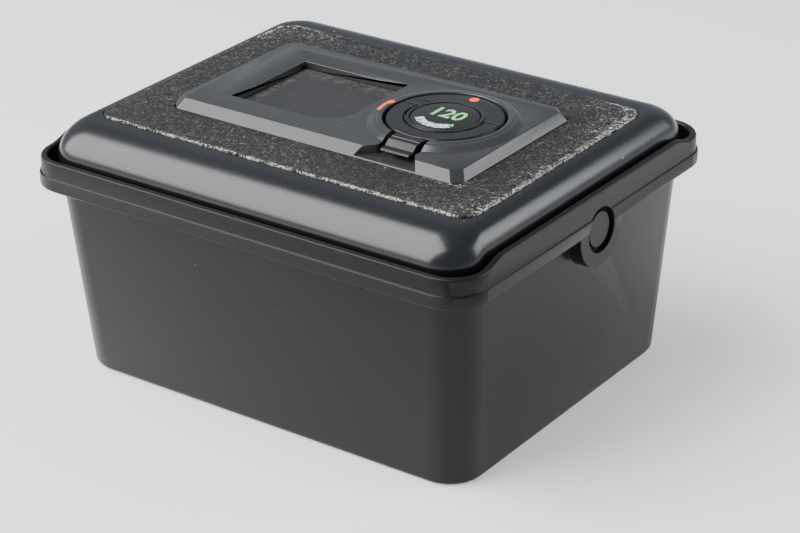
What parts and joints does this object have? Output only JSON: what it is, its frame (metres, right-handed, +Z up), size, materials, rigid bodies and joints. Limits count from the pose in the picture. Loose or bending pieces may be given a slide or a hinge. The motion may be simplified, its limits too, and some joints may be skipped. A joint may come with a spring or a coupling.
{
  "type": "roll film insert in storage case",
  "caption": "Roll film insert for a medium-format camera back, with a lock knob and folding key, sitting in its tapered moulded storage case.",
  "frame": {"origin": "centre of the case's underside", "axes": "+X along the long side towards the knob's end, +Y away from the nail notch, +Z up out of the case"},
  "size_m": [0.12, 0.1, 0.0645],
  "materials": {
    "case_plastic": "fine satin moulding, light scuffs",
    "cover_gloss": "gloss black lacquer",
    "grained_covering": "coarse grained leatherette, worn pale at its edges",
    "bezel_black": "semi-matt black enamel",
    "knob_black": "semi-matt black enamel with printed marks",
    "steel": "plain spring steel",
    "black_alloy": "matt black anodised alloy",
    "gear_plastic": "natural acetal",
    "spool_plastic": "black moulded spool",
    "seal_foam": "black light-seal foam",
    "screw_steel": "blackened steel"
  },
  "bodies": {
    "case": {"case_tub": "case_plastic"},
    "insert": {"back_cover": "cover_gloss", "leatherette": "grained_covering", "bezel_plate": "bezel_black", "memo_plate": "bezel_black", "bar_guide_left": "black_alloy", "bar_guide_right": "black_alloy", "inner_plate": "black_alloy", "light_seal": "seal_foam", "left_cheek": "black_alloy", "right_cheek": "black_alloy", "carrier_web": "black_alloy", "plate_spring_front": "steel", "plate_spring_rear": "steel", "idler_post": "steel", "coupling_post": "steel", "gear_cover": "black_alloy", "gear_cover_spacer_1": "steel", "gear_cover_spacer_2": "steel", "supply_stud_right": "steel", "supply_stud_spring": "steel", "takeup_stud_spring": "steel", "cover_screw_left_front": "screw_steel", "cover_screw_left_rear": "screw_steel", "cover_screw_right_front": "screw_steel", "cover_screw_right_rear": "screw_steel", "frame_screw_1": "screw_steel", "frame_screw_2": "screw_steel", "cheek_screw_left_lower": "screw_steel", "cheek_screw_left_upper": "screw_steel", "cheek_screw_right_lower": "screw_steel", "cheek_screw_right_upper": "screw_steel", "gear_cover_screw_1": "screw_steel", "gear_cover_screw_2": "screw_steel"},
    "knob": {"lock_knob": "knob_black", "dial_cap": "knob_black", "key_pin_left": "steel", "key_pin_right": "steel", "knob_screw": "screw_steel", "latch_cam": "black_alloy"},
    "key": {"key_ring": "knob_black"},
    "bar_left": {"latch_bar_left": "steel"},
    "bar_right": {"latch_bar_right": "steel"},
    "film_plate": {"pressure_plate": "black_alloy"},
    "front_roller": {"roller_front": "black_alloy"},
    "rear_roller": {"roller_rear": "black_alloy"},
    "takeup": {"takeup_spool": "spool_plastic", "drive_dog": "steel", "takeup_gear": "gear_plastic"},
    "idler": {"idler_gear": "gear_plastic"},
    "coupling": {"coupling_gear": "gear_plastic"},
    "supply_stud": {"supply_stud_left": "steel"},
    "takeup_stud": {"takeup_stud_left": "steel"}
  },
  "joints": [
    {"name": "insert_lift", "type": "slide", "parent": "case", "child": "insert", "axis": [0, 0, 1], "range_m": [0, 0.06]},
    {"name": "knob_turn", "type": "hinge", "parent": "insert", "child": "knob", "pos_m": [0.0207, 0, 0.0625], "axis": [0, 0, 1], "range_deg": [0, 90]},
    {"name": "key_lift", "type": "hinge", "parent": "knob", "child": "key", "pos_m": [0.0207, 0.0017, 0.0637], "axis": [-1, 0, 0], "range_deg": [0, 90]},
    {"name": "latch_slide_left", "type": "slide", "parent": "insert", "child": "bar_left", "axis": [1, 0, 0], "range_m": [0, 0.00594]},
    {"name": "latch_slide_right", "type": "slide", "parent": "insert", "child": "bar_right", "axis": [-1, 0, 0], "range_m": [0, 0.00594]},
    {"name": "pressure_plate_travel", "type": "slide", "parent": "insert", "child": "film_plate", "axis": [0, 0, 1], "range_m": [0, 0.0008], "stiffness_N_per_m": 1200, "springref_m": -0.0012, "deforming": ["plate_spring_front", "plate_spring_rear"]},
    {"name": "roller_front_spin", "type": "hinge", "parent": "insert", "child": "front_roller", "pos_m": [0, -0.03, 0.013], "axis": [1, 0, 0], "continuous": true},
    {"name": "roller_rear_spin", "type": "hinge", "parent": "insert", "child": "rear_roller", "pos_m": [0, 0.03, 0.013], "axis": [1, 0, 0], "continuous": true},
    {"name": "takeup_spin", "type": "hinge", "parent": "insert", "child": "takeup", "pos_m": [0, -0.022, 0.034], "axis": [1, 0, 0], "continuous": true},
    {"name": "idler_spin", "type": "hinge", "parent": "insert", "child": "idler", "pos_m": [0.0385, -0.006, 0.022], "axis": [1, 0, 0], "continuous": true},
    {"name": "coupling_spin", "type": "hinge", "parent": "insert", "child": "coupling", "pos_m": [0.0385, 0.00753, 0.01707], "axis": [1, 0, 0], "continuous": true},
    {"name": "supply_stud_pull", "type": "slide", "parent": "insert", "child": "supply_stud", "axis": [-1, 0, 0], "range_m": [0, 0.003], "stiffness_N_per_m": 300, "springref_m": -0.003, "deforming": ["supply_stud_spring"]},
    {"name": "takeup_stud_pull", "type": "slide", "parent": "insert", "child": "takeup_stud", "axis": [-1, 0, 0], "range_m": [0, 0.003], "stiffness_N_per_m": 300, "springref_m": -0.003, "deforming": ["takeup_stud_spring"]}
  ],
  "couplings": [
    {"joint": "key_lift", "follows": "knob_turn", "ratio": 1},
    {"joint": "latch_slide_left", "follows": "knob_turn", "m_per_rad": 0.0037815},
    {"joint": "latch_slide_right", "follows": "knob_turn", "m_per_rad": 0.0037815},
    {"joint": "idler_spin", "follows": "takeup_spin", "ratio": -1.5},
    {"joint": "coupling_spin", "follows": "takeup_spin", "ratio": 1.875}
  ]
}
